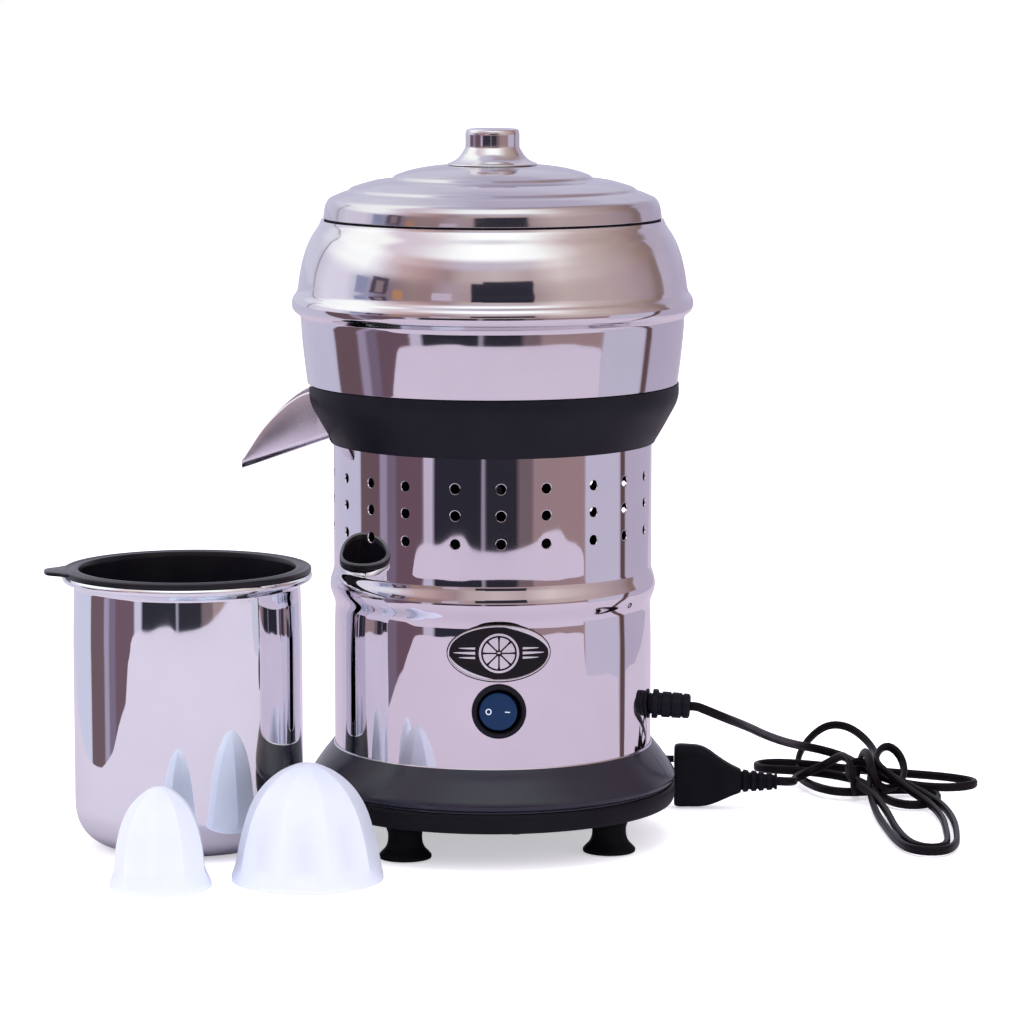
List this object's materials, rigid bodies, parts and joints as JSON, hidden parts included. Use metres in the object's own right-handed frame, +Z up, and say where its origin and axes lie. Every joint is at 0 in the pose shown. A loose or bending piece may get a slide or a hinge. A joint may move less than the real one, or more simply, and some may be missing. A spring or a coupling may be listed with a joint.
{
  "type": "citrus juicer",
  "caption": "Electric citrus juicer with spun metal bowl, lid and spout, vented housing on suction feet, steel jug with strainer, spare reamers and a mains cord.",
  "frame": {"origin": "middle of the set's footprint without its cord, on the surface it stands on", "axes": "+Z up along the motor shaft; the switch and badge face -Y; the spout and jug are towards -X and the cord towards +X"},
  "size_m": [0.5529, 0.3314, 0.4],
  "materials": {
    "spun_aluminium": "spun and polished",
    "polished_steel": "mirror-polished stainless steel",
    "black_plastic": "satin moulded plastic",
    "black_rubber": "matt",
    "badge_black": "glossy",
    "switch_blue": "glossy",
    "reamer_white": "slightly translucent",
    "cord_black": "satin PVC",
    "pin_brass": "bright",
    "motor_iron": "machined",
    "copper_winding": "enamelled copper",
    "zinc_steel": "zinc plated",
    "capacitor_case": "matt"
  },
  "bodies": {
    "root": {"motor_housing": "polished_steel", "collar_tray": "black_plastic", "base_skirt": "black_plastic", "bottom_cover": "black_plastic", "switch_bezel": "black_plastic", "switch_body": "black_plastic", "cord_gland": "black_plastic", "foot_1": "black_rubber", "foot_2": "black_rubber", "foot_3": "black_rubber", "foot_4": "black_rubber", "shaft_seal": "black_rubber", "badge_plate": "badge_black", "cord_lead": "cord_black", "cord_hank": "cord_black", "cord_tail": "cord_black", "plug_body": "cord_black", "plug_pin_1": "pin_brass", "plug_pin_2": "pin_brass", "motor_stator": "motor_iron", "lower_end_bell": "motor_iron", "upper_end_bell": "motor_iron", "winding_lower": "copper_winding", "winding_upper": "copper_winding", "motor_bracket": "zinc_steel", "bearing_lower": "zinc_steel", "bearing_upper": "zinc_steel", "tie_rod_1": "zinc_steel", "tie_rod_2": "zinc_steel", "tie_rod_3": "zinc_steel", "tie_rod_4": "zinc_steel", "base_screw_1": "zinc_steel", "base_screw_2": "zinc_steel", "base_screw_3": "zinc_steel", "base_screw_4": "zinc_steel", "run_capacitor": "capacitor_case", "terminal_block": "capacitor_case"},
    "spindle": {"motor_shaft": "zinc_steel", "motor_rotor": "motor_iron", "drive_hub": "black_plastic", "cooling_fan": "black_plastic"},
    "bowl": {"juice_bowl": "spun_aluminium", "bowl_tube": "spun_aluminium", "spout": "spun_aluminium"},
    "lid": {"lid_shell": "spun_aluminium", "lid_knob": "spun_aluminium", "lid_knob_screw": "zinc_steel"},
    "rocker": {"switch_rocker": "switch_blue"},
    "jug": {"jug": "polished_steel"},
    "strainer": {"strainer": "black_plastic", "strainer_mesh": "zinc_steel"},
    "reamer_large": {"reamer_large": "reamer_white"},
    "reamer_small": {"reamer_small": "reamer_white"}
  },
  "joints": [
    {"name": "spindle_spin", "type": "hinge", "parent": "root", "child": "spindle", "pos_m": [0.0694, 0.0224, 0.12], "axis": [0, 0, 1], "continuous": true},
    {"name": "bowl_lift", "type": "slide", "parent": "root", "child": "bowl", "axis": [0, 0, 1], "range_m": [0, 0.1]},
    {"name": "lid_lift", "type": "slide", "parent": "bowl", "child": "lid", "axis": [0, 0, 1], "range_m": [0, 0.12]},
    {"name": "rocker_press", "type": "hinge", "parent": "root", "child": "rocker", "pos_m": [0.0694, -0.0656, 0.0864], "axis": [0, 0, 1], "range_deg": [0, 18]},
    {"name": "jug_slide", "type": "slide", "parent": "root", "child": "jug", "axis": [-1, 0, 0], "range_m": [0, 0.12]},
    {"name": "strainer_lift", "type": "slide", "parent": "jug", "child": "strainer", "axis": [0, 0, 1], "range_m": [0, 0.05]},
    {"name": "reamer_large_lift", "type": "slide", "parent": "root", "child": "reamer_large", "axis": [0, 0, 1], "range_m": [0, 0.1]},
    {"name": "reamer_small_lift", "type": "slide", "parent": "root", "child": "reamer_small", "axis": [0, 0, 1], "range_m": [0, 0.1]}
  ]
}
